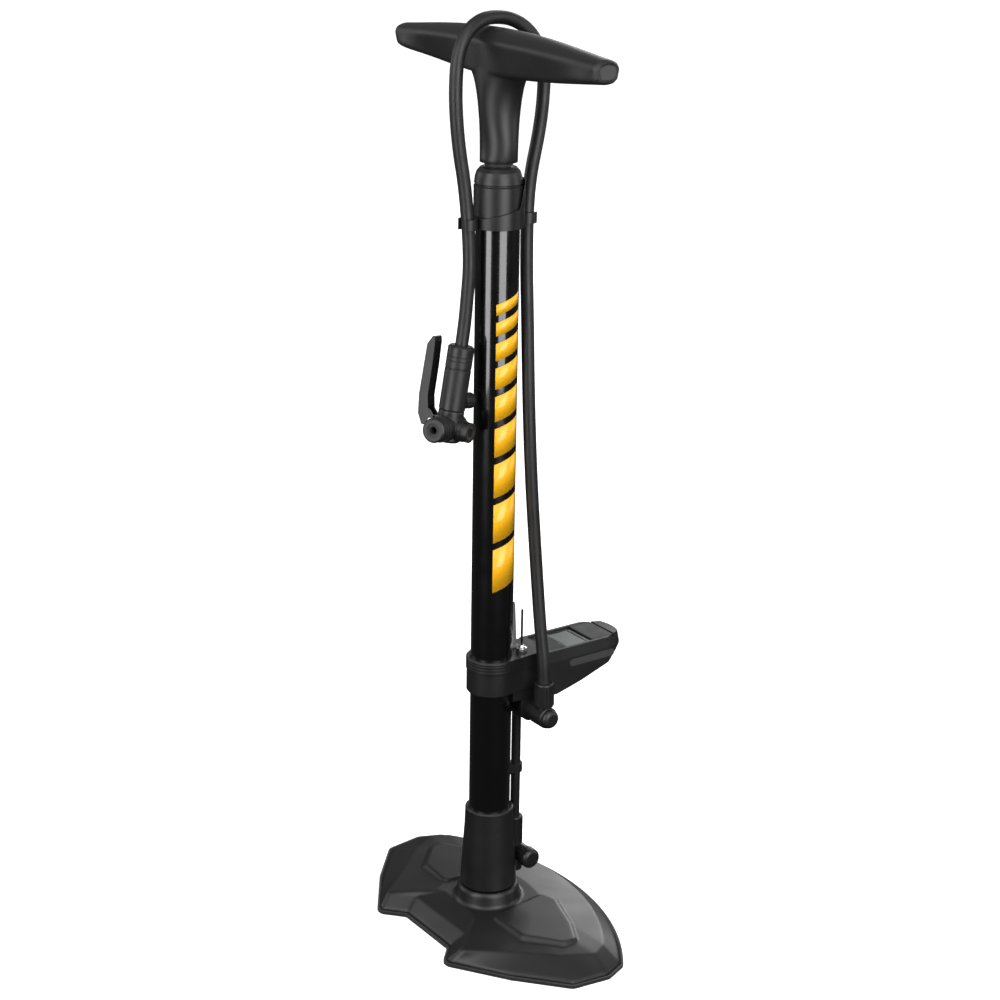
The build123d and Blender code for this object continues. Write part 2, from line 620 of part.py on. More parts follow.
with BuildPart() as coin_cell:
    with Locations((0, 78, board_z - 3.5)):
        Cylinder(10, 3.2, align=(Align.CENTER, Align.CENTER, Align.MIN))
    fillet(coin_cell.edges().filter_by(GeomType.CIRCLE), 0.4)
save(coin_cell, "coin_cell")

slope = 9 / 26
hatch = Plane(origin=(0, 85, 192 + 13 * slope), x_dir=(1, 0, 0), z_dir=(0, slope, -1))
with BuildPart() as battery_cover:
    with BuildSketch(hatch.offset(0.05)) as disc:
        Circle(11)
    extrude(disc.sketch, amount=1.2, dir=hatch.z_dir)
    with BuildSketch(hatch.offset(0.85)) as slot:
        SlotOverall(12, 1.8)
    extrude(slot.sketch, amount=1, dir=hatch.z_dir, mode=Mode.SUBTRACT)
save(battery_cover, "battery_cover")

# ---------------------------------------------------------------- hose dock and barrel cap
wall_top = 589.0
wall_bearing = 75  # plan angle of the middle of the dock's raised wall


def dock_wall(out, height, slope):
    """The dock's wall round the cap, under a plane that rises towards the wall's middle.

    The plane has this height at this distance out from the barrel's axis."""
    away = Vector(cos(radians(wall_bearing)), sin(radians(wall_bearing)), 0)
    above = Plane(origin=away * out + Vector(0, 0, height), z_dir=Vector(0, 0, 1) - away * slope)
    with BuildPart() as wall_part:
        with BuildSketch(Plane.XY.offset(dock_low + 1)) as shell:
            Circle(dock_r)
            Circle(cap_r + fit_gap, mode=Mode.SUBTRACT)
        extrude(shell.sketch, amount=wall_top - dock_low - 1, dir=(0, 0, 1))
        with BuildSketch(above) as cut:
            Rectangle(120, 120)
        extrude(cut.sketch, amount=120, dir=above.z_dir, mode=Mode.SUBTRACT)
    return wall_part.part


with BuildPart() as hose_dock:
    with BuildSketch(Plane.XY.offset(dock_low)) as ring:
        Circle(dock_r)
        with Locations((0, clip_y), (0, -clip_y)):
            Circle(clip_r)
        Circle(mount_r, mode=Mode.SUBTRACT)
        with Locations((0, clip_y), (0, -clip_y)):
            Circle(clip_bore, mode=Mode.SUBTRACT)
        with Locations((0, clip_y + 7), (0, -clip_y - 7)):
            Rectangle(8.2, 9, mode=Mode.SUBTRACT)
    extrude(ring.sketch, amount=dock_top - dock_low)
    add(dock_wall(-15, dock_top, 0.25))
    add(dock_wall(11, dock_top + 7, 3.2))
save(hose_dock, "hose_dock")

bushing_r = 10.0
bushing_low = 584.0
with BuildPart() as barrel_cap:
    turned([(mount_r, dock_top + 0.2), (cap_r, dock_top + 0.2), (cap_r, 584.6), (cap_r - 1.1, 585.2),
            (cap_r - 1.1, 586.0), (cap_r - 0.2, 586.6), (cap_r - 0.9, 591.5), (cap_r - 2.0, 594.8),
            (cap_r - 4.4, cap_top), (bushing_r + fit_gap, cap_top), (bushing_r + fit_gap, barrel_top + 0.1),
            (mount_r, barrel_top + 0.1)])
save(barrel_cap, "barrel_cap")

with BuildPart() as rod_bushing:
    turned([(rod_r + fit_gap, bushing_low), (bore_r - fit_gap, bushing_low), (bore_r - fit_gap, barrel_top),
            (bushing_r, barrel_top), (bushing_r, cap_top + 0.1), (bushing_r - 1, cap_top + 0.6),
            (rod_r + 1, cap_top + 0.6), (rod_r + fit_gap, cap_top)])
save(rod_bushing, "rod_bushing")

# ---------------------------------------------------------------- piston and rod
head_low, head_high = 43.4, 55.9
cup_low, cup_h = 47.0, 4.0
with BuildPart() as piston_head:
    turned([(stud_r + fit_gap, head_low), (bore_r - 1.6, head_low), (bore_r - 0.6, head_low + 1),
            (bore_r - 0.6, cup_low), (11.0, cup_low), (11.0, cup_low + cup_h), (bore_r - 0.6, cup_low + cup_h),
            (bore_r - 0.6, head_high - 1), (bore_r - 2, head_high), (stud_r + fit_gap, head_high)])
save(piston_head, "piston_head")
seal_ring("piston_cup", 11.0 + fit_gap, bore_r - 0.02, cup_h - 0.1, [(0, 0, cup_low + 0.05)])

with BuildPart() as piston_rod:
    with Locations((0, 0, rod_low)):
        Cylinder(rod_r, rod_top - rod_low, align=(Align.CENTER, Align.CENTER, Align.MIN))
    with Locations((0, 0, 39.5)):
        Cylinder(stud_r, rod_low - 39.5, align=(Align.CENTER, Align.CENTER, Align.MIN))
    with Locations((0, 0, rod_top - 24)):
        Cylinder(stud_r + fit_gap, 30, align=(Align.CENTER, Align.CENTER, Align.MIN), mode=Mode.SUBTRACT)
save(piston_rod, "piston_rod")

with BuildPart() as piston_nut:
    with BuildSketch(Plane.XY.offset(39.8)) as nut:
        RegularPolygon(5.5, 6)
        Circle(stud_r + 0.02, mode=Mode.SUBTRACT)
    extrude(nut.sketch, amount=3.5)
save(piston_nut, "piston_nut")

bumper_low = cap_top + 0.7
with BuildPart() as rod_bumper:
    turned([(rod_r + fit_gap, bumper_low), (9.2, bumper_low), (10.2, bumper_low + 0.8),
            (10.2, neck_low), (rod_r + fit_gap, neck_low)])
save(rod_bumper, "rod_bumper")

# ---------------------------------------------------------------- handle
def bar_face(x, half_w, half_h, base, corner):
    """A section of the handle bar: crowned top, sloping sides, bowed underside, rounded corners."""
    with BuildSketch(Plane.YZ.offset(x)) as face:
        with BuildLine():
            ridge, low = 0.53 * half_h, -0.8 * half_h
            y, z = half_w, bar_z
            ThreePointArc((-y, z + ridge), (0, z + half_h), (y, z + ridge))
            Line((y, z + ridge), (y * base, z + low))
            ThreePointArc((y * base, z + low), (0, z - half_h), (-y * base, z + low))
            Line((-y * base, z + low), (-y, z + ridge))
        make_face()
        fillet(face.vertices(), corner)
    return face.sketch


end_w, end_h = 10.8, 8.3
end_run = 3.0  # the bar's last few mm, which narrow to its end face
end_step = 1.8
bar_stations = [(end_run - bar_half, end_w, end_h, 0.8, 4.6), (-84, 13.6, 11.9, 0.72, 3.4), (-42, 16.6, 15.3, 0.72, 2.2),
                (0, 18, 16.5, 0.9, 1.6), (42, 16.6, 15.3, 0.72, 2.2), (84, 13.6, 11.9, 0.72, 3.4),
                (bar_half - end_run, end_w, end_h, 0.8, 4.6)]
neck_stations = [(neck_low, 13.6, 13.6), (632, 14.6, 14.4), (650, 17.4, 16.0), (661, 24, 16.4), (669, 38, 16.6)]

with BuildPart() as handle_body:
    loft([bar_face(*station) for station in bar_stations])
    for side in (1, -1):
        inner_face = bar_face(side * (bar_half - end_run), end_w, end_h, 0.8, 4.6)
        end_face = bar_face(side * bar_half, end_w - end_step, end_h - end_step, 0.8, 3.8)
        loft([inner_face, end_face])
    necks = []
    for z, rx, ry in neck_stations:
        with BuildSketch(Plane.XY.offset(z)) as oval:
            Ellipse(rx, ry)
        necks.append(oval.sketch)
    loft(necks)
    with Locations((0, 0, 590)):
        Cylinder(rod_r + fit_gap, rod_top - 590, align=(Align.CENTER, Align.CENTER, Align.MIN), mode=Mode.SUBTRACT)
        Cylinder(stud_r + fit_gap, 130, align=(Align.CENTER, Align.CENTER, Align.MIN), mode=Mode.SUBTRACT)
    with Locations((0, 0, bar_z + 11)):
        Cylinder(6.0, 20, align=(Align.CENTER, Align.CENTER, Align.MIN), mode=Mode.SUBTRACT)
    for side in (1, -1):
        pocket = bar_face(side * (bar_half - 3.5), end_w - 3.2, end_h - 3.2, 0.8, 3.2)
        extrude(pocket, amount=8, dir=(side, 0, 0), mode=Mode.SUBTRACT)
save(handle_body, "handle_body")

for side, node in ((1, "end_cap_right"), (-1, "end_cap_left")):
    with BuildPart() as end_cap:
        lid = bar_face(side * (bar_half - 3.4), end_w - 3.3, end_h - 3.3, 0.8, 3.1)
        extrude(lid, amount=2.9, dir=(side, 0, 0))
    save(end_cap, node)

with BuildPart() as handle_bolt:
    with Locations((0, 0, bar_z + 11.05)):
        Cylinder(5.5, 3.2, align=(Align.CENTER, Align.CENTER, Align.MIN))
        with BuildSketch(Plane.XY.offset(bar_z + 12.2)) as socket:
            RegularPolygon(2.9, 6)
        extrude(socket.sketch, amount=5, mode=Mode.SUBTRACT)
    with Locations((0, 0, rod_top - 22)):
        Cylinder(stud_r, bar_z + 11.1 - rod_top + 22, align=(Align.CENTER, Align.CENTER, Align.MIN))
save(handle_bolt, "handle_bolt")

# ---------------------------------------------------------------- hose
riser = [(31, 28, 188), (31, 28, 214), (26, 27, 244), (19, 26.2, 301), (15.8, 22.6, 364.5), (13, 20.8, 426),
         (8, 22, 486.6), (1.4, 24.6, 532)]
arch = [(-1.4, 27.2, 582), (-5, 39, 620), (-6.5, 43, 645), (-7.5, 43.6, 662), (-9, 40.3, 679), (-10.5, 31.8, 692.2),
        (-11.5, 18.6, 700.8), (-11.5, 3.5, 703.6), (-8, -11.6, 700.5), (-3.5, -24.5, 692), (-1.5, -33, 679.1),
        (-1, -36.05, 664), (-1.3, -36.2, 642), (-1.8, -33, 613), (-1, -27.6, 584)]
drop = [(1, -24.2, 534), (0.5, -26.3, 505)]


def middle(a, b):
    """The point halfway between two points."""
    return tuple((p + q) / 2 for p, q in zip(a, b))


def runs_of(points):
    """Lengths of the straight runs between a route's points."""
    return [(Vector(*b) - Vector(*a)).length for a, b in zip(points, points[1:])]


def corner_radii(points, around):
    """One bend radius for each inner point, from the runs of the whole route around it."""
    radii = []
    for point in points[1:-1]:
        i = around.index(point)
        before = Vector(*around[i]) - Vector(*around[i - 1])
        after = Vector(*around[i + 1]) - Vector(*around[i])
        half_turn = radians(before.get_angle(after)) / 2
        radii.append(0.45 * min(before.length, after.length) * cos(half_turn) / sin(half_turn))
    return radii


def hose_piece(points, around, node):
    """One stretch of hose along its route; prints its bend radii and checks its volume."""
    radii = corner_radii(points, around)
    with BuildPart() as tube:
        with BuildLine() as line:
            FilletPolyline(*points, radius=radii)
        with BuildSketch(Plane(origin=line.wire() @ 0, z_dir=line.wire() % 0)) as section:
            Circle(hose_r)
        sweep(section.sketch, path=line.wire())
    save(tube, node)
    expected = pi * hose_r**2 * line.wire().length
    print(node, "length", round(line.wire().length, 2), "volume ratio", round(tube.part.volume / expected, 5))
    print("   radii", [round(r, 1) for r in radii])
    return line.wire().length


sleeve_in = tuple(head.from_local_coords((0, 0, 72)))
hose_end = tuple(head.from_local_coords((0, 0, hose_stop)))
route = riser + arch + drop + [sleeve_in, hose_end]
dock_in = middle(riser[-1], arch[0])
dock_out = middle(arch[-1], drop[0])
total = hose_piece(riser + [dock_in], route, "hose_riser")
total += hose_piece([dock_in] + arch + [dock_out], route, "hose_loop")
total += hose_piece([dock_out] + drop + [sleeve_in, hose_end], route, "hose_drop")
print("runs", [round(r, 1) for r in runs_of(route)])
print("hose length", round(total, 1), "mm")

# ---------------------------------------------------------------- valve head
pin_y, pin_z, pin_r = -14.0, 3.0, 1.6
lug_half = 3.0
presta_face, presta_from = 23.5, 14.0
schrader_face = 18.5

with BuildPart() as head_sleeve:
    rod_on(on_head(0, 0, sleeve_from, "z"), sleeve_r, sleeve_to - sleeve_from)
    rims = head_sleeve.edges().filter_by(GeomType.CIRCLE).sort_by(Axis((0, 0, 0), tuple(head.z_dir)))
    chamfer(rims[-1], 1.5)
    for low, width, depth in ((43.5, 1.1, 0.7), (49.5, 0.5, 0.3), (52.5, 0.5, 0.3)):
        rod_on(on_head(0, 0, low, "z"), sleeve_r + 1, width, Mode.SUBTRACT)
        rod_on(on_head(0, 0, low, "z"), sleeve_r - depth, width)
    rod_on(on_head(0, 0, hose_stop, "z"), hose_r + 0.1, 20, Mode.SUBTRACT)
    rod_on(on_head(0, 0, sleeve_from - 1, "z"), 2.0, 60, Mode.SUBTRACT)
save(head_sleeve, "head_sleeve")

with BuildPart() as head_body:
    rod_on(on_head(0, 0, -10, "z"), 9.4, sleeve_from + 9.9)
    fillet(head_body.edges().filter_by(GeomType.CIRCLE), 1.8)
    rod_on(on_head(-11.5, 0, 0, "x"), 9.6, 11.5 + presta_from)
    rod_on(on_head(0, 0, 0, "y"), 7.9, 13)
    with BuildSketch(on_head(-lug_half, 0, 0, "x")) as lug:
        with Locations((pin_z, -pin_y)):
            Circle(3.6)
        with Locations((pin_z, -pin_y / 2)):
            Rectangle(7.2, -pin_y)
    extrude(lug.sketch, amount=2 * lug_half, dir=head.x_dir)
    rod_on(on_head(-lug_half - 1, pin_y, pin_z, "x"), pin_r + fit_gap, 8, Mode.SUBTRACT)
    rod_on(on_head(0, 0, 0, "z"), 2.0, 30, Mode.SUBTRACT)
    rod_on(on_head(0, 0, 0, "x"), 5.2, 20, Mode.SUBTRACT)
    rod_on(on_head(0, 3, 0, "y"), 2.0, 20, Mode.SUBTRACT)
    rod_on(on_head(0, 8, 0, "y"), 5.2, 20, Mode.SUBTRACT)
    rod_on(on_head(0, -11, 0, "y"), 2.5 + fit_gap, 14, Mode.SUBTRACT)
save(head_body, "head_body")

with BuildPart() as lever_plunger:
    rod_on(on_head(0, -10.8, 0, "y"), 2.5, 8.5)
save(lever_plunger, "lever_plunger")

with BuildPart() as presta_cap:
    rod_on(on_head(presta_from + 0.1, 0, 0, "x"), 9.0, presta_face - presta_from - 0.1)
    chamfer(presta_cap.edges().filter_by(GeomType.CIRCLE).sort_by(Axis((0, 0, 0), tuple(head.x_dir)))[-1], 1.1)
    for low in (16.0, 18.6):
        rod_on(on_head(low, 0, 0, "x"), 10, 0.9, Mode.SUBTRACT)
        rod_on(on_head(low, 0, 0, "x"), 8.3, 0.9)
    rod_on(on_head(0, 0, 0, "x"), 4.75, 40, Mode.SUBTRACT)
save(presta_cap, "presta_cap")

with BuildPart() as presta_grommet:
    rod_on(on_head(3, 0, 0, "x"), 4.7, presta_face - 3.3)
    rod_on(on_head(0, 0, 0, "x"), presta_r, 40, Mode.SUBTRACT)
save(presta_grommet, "presta_grommet")

with BuildPart() as schrader_cap:
    rod_on(on_head(0, 13.1, 0, "y"), 7.4, schrader_face - 13.1)
    fillet(schrader_cap.edges().filter_by(GeomType.CIRCLE).sort_by(Axis((0, 0, 0), tuple(head.y_dir)))[-1], 0.7)
    rod_on(on_head(0, 0, 0, "y"), 5.2, 40, Mode.SUBTRACT)
save(schrader_cap, "schrader_cap")

with BuildPart() as schrader_grommet:
    rod_on(on_head(0, 8.1, 0, "y"), 5.15, schrader_face - 8.6)
    rod_on(on_head(0, 8.0, 0, "y"), schrader_r, 40, Mode.SUBTRACT)
save(schrader_grommet, "schrader_grommet")

lever_half = 5.1
with BuildPart() as lever:
    with BuildSketch(on_head(-lever_half, 0, 0, "x")) as side:
        with BuildLine():
            outer = [(pin_z - 4, -pin_y), (-1.5, 20.5), (6, 24.5), (20, 26.0), (57, 25.4), (63.8, 21.6)]
            inner = [(63.8, 20.2), (60, 19.2), (42, 18.6), (20, 18.6), (11, 16.8), (pin_z + 3.5, 12.2),
                     (pin_z, 10.4)]
            Polyline(*outer, *inner, close=True)
        make_face()
        fillet(side.vertices(), 1.0)
    extrude(side.sketch, amount=2 * lever_half, dir=head.x_dir)
    with BuildSketch(on_head(-lug_half - 0.3, 0, 0, "x")) as gap:
        with Locations((2.5, 8.5)):
            Rectangle(20, 20.5)
    extrude(gap.sketch, amount=2 * lug_half + 0.6, dir=head.x_dir, mode=Mode.SUBTRACT)
    rod_on(on_head(-lever_half - 1, pin_y, pin_z, "x"), pin_r + 0.02, 14, Mode.SUBTRACT)
save(lever, "lever")

with BuildPart() as lever_pin:
    rod_on(on_head(-lever_half - 0.3, pin_y, pin_z, "x"), pin_r, 2 * lever_half + 0.6)
save(lever_pin, "lever_pin")

with BuildPart() as bleed_knob:
    back = Vector(*head.x_dir) * -0.94 + Vector(*head.y_dir) * 0.34
    seat = Plane(origin=head.from_local_coords((-8.4, 3.0, 20.2)), z_dir=back)
    rod_on(seat, 6.0, 8)
    fillet(bleed_knob.edges().filter_by(GeomType.CIRCLE), 0.8)
    with BuildSketch(seat) as grooves:
        with PolarLocations(6.2, 14):
            Circle(0.55)
    extrude(grooves.sketch, amount=9, dir=seat.z_dir, mode=Mode.SUBTRACT)
    rod_on(on_head(0, 0, sleeve_from - 1, "z"), sleeve_r + 0.02, 40, Mode.SUBTRACT)
save(bleed_knob, "bleed_knob")

for name, tip, direction in (("presta_port", (presta_face - 6, 0, 0), head.x_dir),
                             ("schrader_port", (0, schrader_face - 5, 0), head.y_dir)):
    print(name, "at", [round(v, 3) for v in head.from_local_coords(tip)], "axis", [round(v, 5) for v in direction])
print("lever pivot", [round(v, 3) for v in head.from_local_coords((0, pin_y, pin_z))])
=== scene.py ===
"""Looks of the floor bike pump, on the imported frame: camera, hose, materials, stripes, studio."""

import json
import math

import bmesh
import bpy
from mathutils import Matrix, Vector


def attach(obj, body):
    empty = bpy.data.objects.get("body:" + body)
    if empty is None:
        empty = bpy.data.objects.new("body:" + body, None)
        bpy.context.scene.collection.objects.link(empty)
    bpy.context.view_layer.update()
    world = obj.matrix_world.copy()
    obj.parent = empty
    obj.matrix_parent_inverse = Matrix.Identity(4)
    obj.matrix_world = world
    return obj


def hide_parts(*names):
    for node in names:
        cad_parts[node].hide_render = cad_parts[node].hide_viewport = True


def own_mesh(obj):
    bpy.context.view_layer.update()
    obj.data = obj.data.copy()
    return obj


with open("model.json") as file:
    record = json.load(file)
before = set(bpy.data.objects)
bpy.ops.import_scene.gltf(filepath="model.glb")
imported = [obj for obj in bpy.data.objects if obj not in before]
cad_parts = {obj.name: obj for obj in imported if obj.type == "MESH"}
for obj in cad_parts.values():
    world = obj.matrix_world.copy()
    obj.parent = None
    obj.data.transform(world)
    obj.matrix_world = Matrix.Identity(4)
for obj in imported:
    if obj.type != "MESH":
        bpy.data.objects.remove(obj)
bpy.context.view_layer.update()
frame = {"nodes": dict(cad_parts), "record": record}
MM = 0.001


# ---------------------------------------------------------------- camera
# solved from the photograph: its place in metres, its right, up and forward directions, and its
# lens and sensor width in mm
CAMERA_AT = (1.2243, -0.8645, 0.8641)
CAMERA_RIGHT = (0.5751, 0.8180, 0.0150)
CAMERA_UP = (-0.2744, 0.1756, 0.9455)
CAMERA_FORWARD = (-0.7707, 0.5478, -0.3254)
CAMERA_LENS = 76.6
CAMERA_SENSOR = 36
CAMERA_REACH = 30  # metres


def add_camera():
    """The camera that sees the pump from the front right, a little above it."""
    camera = bpy.data.objects.new("camera", bpy.data.cameras.new("camera"))
    bpy.context.scene.collection.objects.link(camera)
    back = -Vector(CAMERA_FORWARD)
    turn = Matrix((CAMERA_RIGHT, CAMERA_UP, back)).transposed().to_4x4()
    camera.matrix_world = Matrix.Translation(CAMERA_AT) @ turn
    camera.data.sensor_width = CAMERA_SENSOR
    camera.data.lens = CAMERA_LENS
    camera.data.clip_end = CAMERA_REACH
    bpy.context.scene.camera = camera


# ---------------------------------------------------------------- hose
# the hose's control points, in mm: up beside the barrel, over the handle, down to the valve head
RISER = [(31, 28, 188), (31, 28, 214), (26, 27, 244), (19, 26.2, 301), (15.8, 22.6, 364.5),
         (13, 20.8, 426), (8, 22, 486.6), (1.4, 24.6, 532)]
ARCH = [(-1.4, 27.2, 582), (-5, 39, 620), (-6.5, 43, 645), (-7.5, 43.6, 661.8), (-9, 40.3, 677.6),
        (-10.5, 31.8, 690.3), (-11.5, 18.6, 698.0), (-11.5, 3.5, 700.3), (-8, -12.2, 699.2),
        (-3.5, -26.2, 692.0), (-1.5, -34.2, 678.8), (-1, -36.4, 663.7), (-1.3, -36.3, 642),
        (-1.8, -33, 613), (-1, -27.6, 584)]
DROP = [(1, -24.2, 534), (0.5, -26.3, 505), (0, -28.321, 482.228), (0, -31.846, 462.033)]
HOSE_R = 4.8


def add_hose():
    """The hose, one NURBS curve through the dock's clips and over the handle."""
    curve = bpy.data.curves.new("hose", "CURVE")
    curve.dimensions = "3D"
    spline = curve.splines.new("NURBS")
    points = RISER + ARCH + DROP
    spline.points.add(len(points) - 1)
    for control, (x, y, z) in zip(spline.points, points):
        control.co = (x * MM, y * MM, z * MM, 1)
        control.radius = HOSE_R * MM
    spline.order_u = 3
    spline.use_endpoint_u = True
    spline.resolution_u = 16
    curve.bevel_depth = 1.0  # the points' own radius gives the thickness
    curve.bevel_resolution = 10
    curve.use_fill_caps = True
    hose = bpy.data.objects.new("hose", curve)
    bpy.context.scene.collection.objects.link(hose)
    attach(hose, "pump")
    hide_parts("hose_riser", "hose_loop", "hose_drop")
    return hose


# ---------------------------------------------------------------- material kit
BEVEL_SAMPLES = 6
MIDDLE = (0.3, 0.7)  # the part of a noise's range that holds nearly all of it
EDGE_COSINES = (0.9995, 0.93)  # lean of the rounded normal where the paler edges (part rubbed wear, part painted highlight) start, and are full


def new_material(name):
    """A fresh node material; returns it with its tree and its shader."""
    material = bpy.data.materials.new(name)
    material.use_nodes = True
    tree = material.node_tree
    return material, tree, tree.nodes["Principled BSDF"]


def noise(tree, scale, detail=3.0, rough=0.5, stretch=None):
    """A noise texture over the object's own coordinates, in metres; stretch scales X, Y and Z."""
    coords = tree.nodes.new("ShaderNodeTexCoord")
    texture = tree.nodes.new("ShaderNodeTexNoise")
    texture.inputs["Scale"].default_value = scale
    texture.inputs["Detail"].default_value = detail
    texture.inputs["Roughness"].default_value = rough
    source = coords.outputs["Object"]
    if stretch:
        mapping = tree.nodes.new("ShaderNodeMapping")
        mapping.inputs["Scale"].default_value = stretch
        tree.links.new(source, mapping.inputs["Vector"])
        source = mapping.outputs["Vector"]
    tree.links.new(source, texture.inputs["Vector"])
    return texture.outputs["Fac"]


def ramp(tree, value, low, high, out_low, out_high):
    """Maps a value's range low..high to out_low..out_high."""
    node = tree.nodes.new("ShaderNodeMapRange")
    node.inputs["From Min"].default_value = low
    node.inputs["From Max"].default_value = high
    node.inputs["To Min"].default_value = out_low
    node.inputs["To Max"].default_value = out_high
    tree.links.new(value, node.inputs["Value"])
    return node.outputs["Result"]


def mix_colour(tree, factor, first, second):
    """Two colours (or a socket and a colour) mixed by a factor socket."""
    node = tree.nodes.new("ShaderNodeMix")
    node.data_type = "RGBA"
    tree.links.new(factor, node.inputs["Factor"])
    for value, socket in ((first, node.inputs[6]), (second, node.inputs[7])):
        if isinstance(value, bpy.types.NodeSocket):
            tree.links.new(value, socket)
        else:
            socket.default_value = (*value, 1)
    return node.outputs[2]


def soft_edges(tree, radius):
    """Normals rounded over edges by a radius in metres."""
    node = tree.nodes.new("ShaderNodeBevel")
    node.samples = BEVEL_SAMPLES
    node.inputs["Radius"].default_value = radius
    return node.outputs["Normal"]


def set_colour(tree, shader, factor, first, second):
    """Mixes two colours by a factor socket into the base colour."""
    tree.links.new(mix_colour(tree, factor, first, second), shader.inputs["Base Color"])


def set_roughness(tree, shader, value, smooth, rough, span=MIDDLE):
    """Spreads a value socket's span over a range of roughness."""
    tree.links.new(ramp(tree, value, *span, smooth, rough), shader.inputs["Roughness"])


def set_relief(tree, shader, height, strength, distance, edge):
    """Bumps the surface by a height socket, on edges rounded by a radius in metres."""
    node = tree.nodes.new("ShaderNodeBump")
    node.inputs["Strength"].default_value = strength
    node.inputs["Distance"].default_value = distance
    tree.links.new(height, node.inputs["Height"])
    tree.links.new(soft_edges(tree, edge), node.inputs["Normal"])
    tree.links.new(node.outputs["Normal"], shader.inputs["Normal"])


def edge_mask(tree, radius):
    """About 1 near edges, 0 on flat faces: how far the rounded normal leans from the true one."""
    rounded = soft_edges(tree, radius)
    geometry = tree.nodes.new("ShaderNodeNewGeometry")
    dot = tree.nodes.new("ShaderNodeVectorMath")
    dot.operation = "DOT_PRODUCT"
    tree.links.new(rounded, dot.inputs[0])
    tree.links.new(geometry.outputs["Normal"], dot.inputs[1])
    return ramp(tree, dot.outputs["Value"], *EDGE_COSINES, 0.0, 1.0)


def moulded(name, colour, rough=0.42, grain=1500, depth=0.02, edge=0.0005, blend=None):
    """Moulded plastic: fine spark-eroded grain, cloudy roughness, slightly paler edges that are
    part rubbed wear and part painted highlight.

    Edges are painted paler (rubbed wear and painted highlight) over the distance edge and rounded
    over the distance blend."""
    material, tree, shader = new_material(name)
    clouds = noise(tree, 28, 4)
    # painted highlight along the edges, mixed with rubbed wear: the edges come out paler
    edge_wear_and_highlight = edge_mask(tree, edge)
    blotch = ramp(tree, noise(tree, 160, 5, 0.6), 0.35, 0.65, 0.0, 0.25)
    patchy_wear_and_highlight = tree.nodes.new("ShaderNodeMath")
    patchy_wear_and_highlight.operation = "MULTIPLY"
    tree.links.new(edge_wear_and_highlight, patchy_wear_and_highlight.inputs[0])
    tree.links.new(blotch, patchy_wear_and_highlight.inputs[1])
    dark = tuple(c * 0.86 for c in colour)
    pale = tuple(min(1, c * 1.14 + 0.002) for c in colour)
    base = mix_colour(tree, clouds, dark, pale)
    # paler edge colour: partly rubbed wear, partly a painted highlight on the edges
    wear_and_highlight_edge_colour = tuple(min(1, c * 1.8 + 0.006) for c in colour)
    set_colour(tree, shader, patchy_wear_and_highlight.outputs[0], base, wear_and_highlight_edge_colour)
    set_roughness(tree, shader, clouds, rough - 0.05, rough + 0.06)
    set_relief(tree, shader, noise(tree, grain, 2), depth, 0.0004, blend or edge)
    return material


def gloss_paint(name, colour):
    """Deep gloss lacquer: clear coat, faint orange peel and fine dust."""
    material, tree, shader = new_material(name)
    dust = ramp(tree, noise(tree, 2600, 2, 0.7), 0.70, 0.84, 0.0, 0.012)
    set_colour(tree, shader, dust, colour, (0.2, 0.2, 0.2))
    set_roughness(tree, shader, noise(tree, 60, 4), 0.16, 0.24)
    shader.inputs["Coat Weight"].default_value = 1.0
    shader.inputs["Coat Roughness"].default_value = 0.05
    set_relief(tree, shader, noise(tree, 90, 2), 0.01, 0.0003, 0.0004)
    return material


def rubber(name, colour, rough=0.62, grain=1900, sheen=0.15):
    """Matt rubber with a fine skin and patches of pale bloom."""
    material, tree, shader = new_material(name)
    bloom = ramp(tree, noise(tree, 55, 6, 0.6), 0.4, 0.75, 0.0, 0.35)
    pale = tuple(c * 1.7 + 0.006 for c in colour)
    set_colour(tree, shader, bloom, colour, pale)
    set_roughness(tree, shader, noise(tree, 90, 4), rough - 0.06, rough + 0.08)
    shader.inputs["Sheen Weight"].default_value = sheen
    shader.inputs["Sheen Roughness"].default_value = 0.5
    set_relief(tree, shader, noise(tree, grain, 3), 0.06, 0.0003, 0.0004)
    return material


def metal(name, colour, rough=0.25, stretch=(900, 900, 25)):
    """Metal with small stains; its grain is drawn out along Z unless stretch is even."""
    material, tree, shader = new_material(name)
    lines = noise(tree, 1.0, 3, 0.5, stretch)
    stains = ramp(tree, noise(tree, 120, 5), 0.45, 0.8, 0.0, 0.4)
    set_colour(tree, shader, stains, colour, tuple(c * 0.7 for c in colour))
    set_roughness(tree, shader, lines, rough - 0.08, rough + 0.1, span=(0.25, 0.75))
    shader.inputs["Metallic"].default_value = 1.0
    set_relief(tree, shader, lines, 0.01, 0.0002, 0.0002)
    return material


def clear_glass(name):
    """The gauge's window: clear, slightly smoked, a few hairline scratches."""
    material, tree, shader = new_material(name)
    shader.inputs["Base Color"].default_value = (0.85, 0.88, 0.88, 1)
    shader.inputs["Transmission Weight"].default_value = 1.0
    shader.inputs["IOR"].default_value = 1.3
    scratches = noise(tree, 1.0, 2, 0.5, (60, 900, 60))
    set_roughness(tree, shader, scratches, 0.03, 0.16, span=(0.6, 0.8))
    return material


def screen(name):
    """A switched-off liquid crystal screen: pale grey, faintly cloudy, unevenly dull."""
    material, tree, shader = new_material(name)
    set_colour(tree, shader, noise(tree, 70, 3), (0.36, 0.37, 0.36), (0.46, 0.47, 0.455))
    set_roughness(tree, shader, noise(tree, 900, 2), 0.30, 0.42)
    return material


def board(name):
    """Circuit board: dark green resist with paler tracks."""
    material, tree, shader = new_material(name)
    tracks = ramp(tree, noise(tree, 1.0, 0, 0.5, (240, 60, 60)), 0.48, 0.52, 0.0, 1.0)
    set_colour(tree, shader, tracks, (0.01, 0.09, 0.03), (0.02, 0.15, 0.06))
    shader.inputs["Roughness"].default_value = 0.35
    return material


